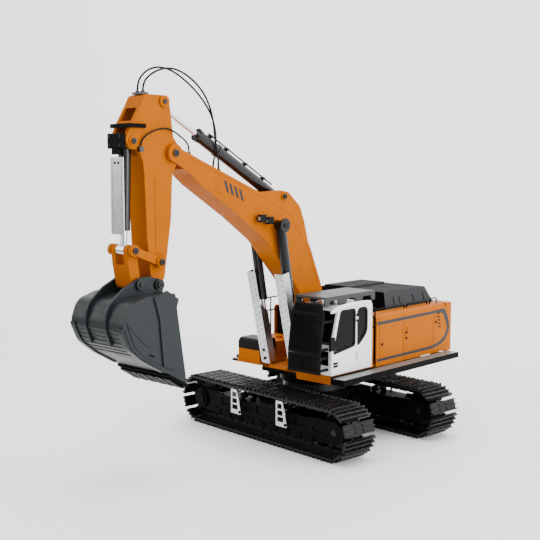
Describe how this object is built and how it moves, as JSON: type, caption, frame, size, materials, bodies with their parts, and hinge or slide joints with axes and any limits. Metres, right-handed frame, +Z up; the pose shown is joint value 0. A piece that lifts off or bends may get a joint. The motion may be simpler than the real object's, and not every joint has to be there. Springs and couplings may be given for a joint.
{
  "type": "rc_excavator",
  "caption": "Radio-controlled model crawler excavator: steerable tracks, slewing upper with cab, boom, stick, linked bucket and cylinders with silver rod guards.",
  "frame": {"origin": "On the ground, under the swing axis of the upper structure.", "axes": "+X forward along the boom at rest, +Y to the cab side, +Z up. The tracks are turned 85 degrees about +Z under it."},
  "size_m": [0.7577, 0.45, 0.6188],
  "materials": {
    "orange_paint": "satin",
    "bucket_grey": "satin",
    "black_paint": "gloss",
    "track_black": "gloss",
    "cab_white": "gloss",
    "hood_grey": "satin",
    "cylinder_black": "gloss",
    "rod_chrome": "polished",
    "pin_steel": "brushed",
    "sheet_silver": "satin",
    "window_glass": "polished",
    "trim_plastic": "matte",
    "tread_plate": "satin",
    "cast_weight": "satin",
    "hose_rubber": "matte",
    "gear_steel": "machined",
    "housing_plastic": "matte",
    "brass_union": "machined"
  },
  "bodies": {
    "undercarriage": {"center_frame": "black_paint", "track_frames": "black_paint", "track_shoes": "track_black", "track_chains": "track_black", "final_drives": "black_paint", "track_rollers": "pin_steel", "track_steps": "sheet_silver", "slew_ring_gear": "gear_steel"},
    "left_sprocket": {"sprocket_left": "gear_steel"},
    "right_sprocket": {"sprocket_right": "gear_steel"},
    "left_idler": {"idler_left": "gear_steel"},
    "right_idler": {"idler_right": "gear_steel"},
    "upper_structure": {"slew_ring_bearing": "black_paint", "swing_motor": "housing_plastic", "upper_deck": "orange_paint", "deck_pins": "pin_steel", "counterweight": "cast_weight", "side_panels": "orange_paint", "body_frame": "black_paint", "engine_hood": "hood_grey", "walkways": "black_paint", "walkway_treads": "tread_plate", "handrails": "black_paint", "storage_box": "orange_paint", "storage_box_lid": "trim_plastic", "fuel_tank": "orange_paint", "hydraulics": "housing_plastic", "electronics": "housing_plastic", "cab_shell": "cab_white", "cab_windows": "window_glass", "cab_guards": "black_paint", "cab_interior": "trim_plastic", "mirror": "trim_plastic"},
    "pinion": {"swing_pinion": "gear_steel"},
    "door": {"cab_door": "cab_white", "cab_door_window": "window_glass"},
    "boom_arm": {"boom": "orange_paint", "boom_lamps": "trim_plastic", "boom_pins": "pin_steel", "boom_hose_glands": "brass_union", "hose_a": "hose_rubber", "hose_b": "hose_rubber", "pilot_hose": "hose_rubber"},
    "boom_barrels": {"boom_cylinder_barrels": "cylinder_black"},
    "boom_rods": {"boom_cylinder_rods": "rod_chrome", "boom_rod_guards": "sheet_silver"},
    "stick_barrel": {"stick_cylinder_barrel": "cylinder_black"},
    "stick_rod": {"stick_cylinder_rod": "rod_chrome"},
    "stick_arm": {"stick": "orange_paint", "stick_pins": "pin_steel", "stick_bracket": "black_paint", "stick_hose_glands": "brass_union"},
    "bucket_barrel": {"bucket_cylinder_barrel": "cylinder_black", "bucket_cylinder_shield": "sheet_silver"},
    "bucket_rod": {"bucket_cylinder_rod": "rod_chrome"},
    "rocker": {"rocker_arms": "orange_paint"},
    "link": {"bucket_link": "orange_paint"},
    "bucket_body": {"bucket": "bucket_grey", "bucket_pins": "pin_steel", "bucket_edge": "black_paint"}
  },
  "joints": [
    {"name": "swing", "type": "hinge", "parent": "undercarriage", "child": "upper_structure", "pos_m": [0, 0, 0.0915], "axis": [0, 0, 1], "continuous": true},
    {"name": "swing_pinion_spin", "type": "hinge", "parent": "upper_structure", "child": "pinion", "pos_m": [-0.036, 0, 0.085], "axis": [0, 0, 1], "continuous": true},
    {"name": "left_sprocket_spin", "type": "hinge", "parent": "undercarriage", "child": "left_sprocket", "pos_m": [-0.12103, -0.15856, 0.0445], "axis": [-0.9962, 0.0872, 0], "continuous": true},
    {"name": "right_sprocket_spin", "type": "hinge", "parent": "undercarriage", "child": "right_sprocket", "pos_m": [0.09166, -0.17716, 0.0445], "axis": [-0.9962, 0.0872, 0], "continuous": true},
    {"name": "left_idler_spin", "type": "hinge", "parent": "undercarriage", "child": "left_idler", "pos_m": [-0.09166, 0.17716, 0.0445], "axis": [-0.9962, 0.0872, 0], "continuous": true},
    {"name": "right_idler_spin", "type": "hinge", "parent": "undercarriage", "child": "right_idler", "pos_m": [0.12103, 0.15856, 0.0445], "axis": [-0.9962, 0.0872, 0], "continuous": true},
    {"name": "cab_door_hinge", "type": "hinge", "parent": "upper_structure", "child": "door", "pos_m": [0.0328, 0.1207, 0.182], "axis": [0, 0, 1], "range_deg": [0, 95]},
    {"name": "boom_lift", "type": "hinge", "parent": "upper_structure", "child": "boom_arm", "pos_m": [0, 0, 0.148], "axis": [0, -1, 0], "range_deg": [-25, 12]},
    {"name": "boom_cylinder_tilt", "type": "hinge", "parent": "boom_arm", "child": "boom_barrels", "pos_m": [0.1285, 0, 0.3735], "axis": [0, -1, 0], "range_deg": [-1.5, 1]},
    {"name": "boom_cylinder_stroke", "type": "slide", "parent": "boom_barrels", "child": "boom_rods", "axis": [-0.1827, 0, -0.9832], "range_m": [-0.038, 0.019]},
    {"name": "stick_swing", "type": "hinge", "parent": "boom_arm", "child": "stick_arm", "pos_m": [0.353, 0, 0.489], "axis": [0, -1, 0], "range_deg": [-10, 50], "deforming": ["hose_a", "hose_b", "pilot_hose"]},
    {"name": "stick_cylinder_tilt", "type": "hinge", "parent": "boom_arm", "child": "stick_barrel", "pos_m": [0.11, 0, 0.4205], "axis": [0, -1, 0], "range_deg": [-1.5, 6]},
    {"name": "stick_cylinder_stroke", "type": "slide", "parent": "stick_barrel", "child": "stick_rod", "axis": [0.8747, 0, 0.4846], "range_m": [-0.061, 0.013]},
    {"name": "bucket_curl", "type": "hinge", "parent": "stick_arm", "child": "bucket_body", "pos_m": [0.3885, 0, 0.2955], "axis": [0, -1, 0], "range_deg": [-60, 20]},
    {"name": "rocker_tilt", "type": "hinge", "parent": "stick_arm", "child": "rocker", "pos_m": [0.384, 0, 0.3287], "axis": [0, -1, 0], "range_deg": [-45, 16]},
    {"name": "link_tilt", "type": "hinge", "parent": "rocker", "child": "link", "pos_m": [0.433, 0, 0.348], "axis": [0, -1, 0], "range_deg": [-10, 28]},
    {"name": "bucket_cylinder_tilt", "type": "hinge", "parent": "stick_arm", "child": "bucket_barrel", "pos_m": [0.428, 0, 0.505], "axis": [0, -1, 0], "range_deg": [-1, 2]},
    {"name": "bucket_cylinder_stroke", "type": "slide", "parent": "bucket_barrel", "child": "bucket_rod", "axis": [0.0318, 0, -0.9995], "range_m": [-0.014, 0.039]}
  ],
  "couplings": [
    {"joint": "swing_pinion_spin", "follows": "swing", "ratio": -5},
    {"joint": "left_idler_spin", "follows": "left_sprocket_spin", "ratio": 1},
    {"joint": "right_idler_spin", "follows": "right_sprocket_spin", "ratio": 1},
    {"joint": "boom_cylinder_tilt", "follows": "boom_lift", "ratio": 0.0489},
    {"joint": "boom_cylinder_stroke", "follows": "boom_lift", "m_per_rad": 0.08257},
    {"joint": "stick_cylinder_tilt", "follows": "stick_swing", "ratio": 0.1069},
    {"joint": "stick_cylinder_stroke", "follows": "stick_swing", "m_per_rad": -0.06734},
    {"joint": "rocker_tilt", "follows": "bucket_curl", "ratio": 0.7249},
    {"joint": "link_tilt", "follows": "bucket_curl", "ratio": -0.4376},
    {"joint": "bucket_cylinder_tilt", "follows": "bucket_curl", "ratio": -0.0178},
    {"joint": "bucket_cylinder_stroke", "follows": "bucket_curl", "m_per_rad": -0.03616}
  ]
}
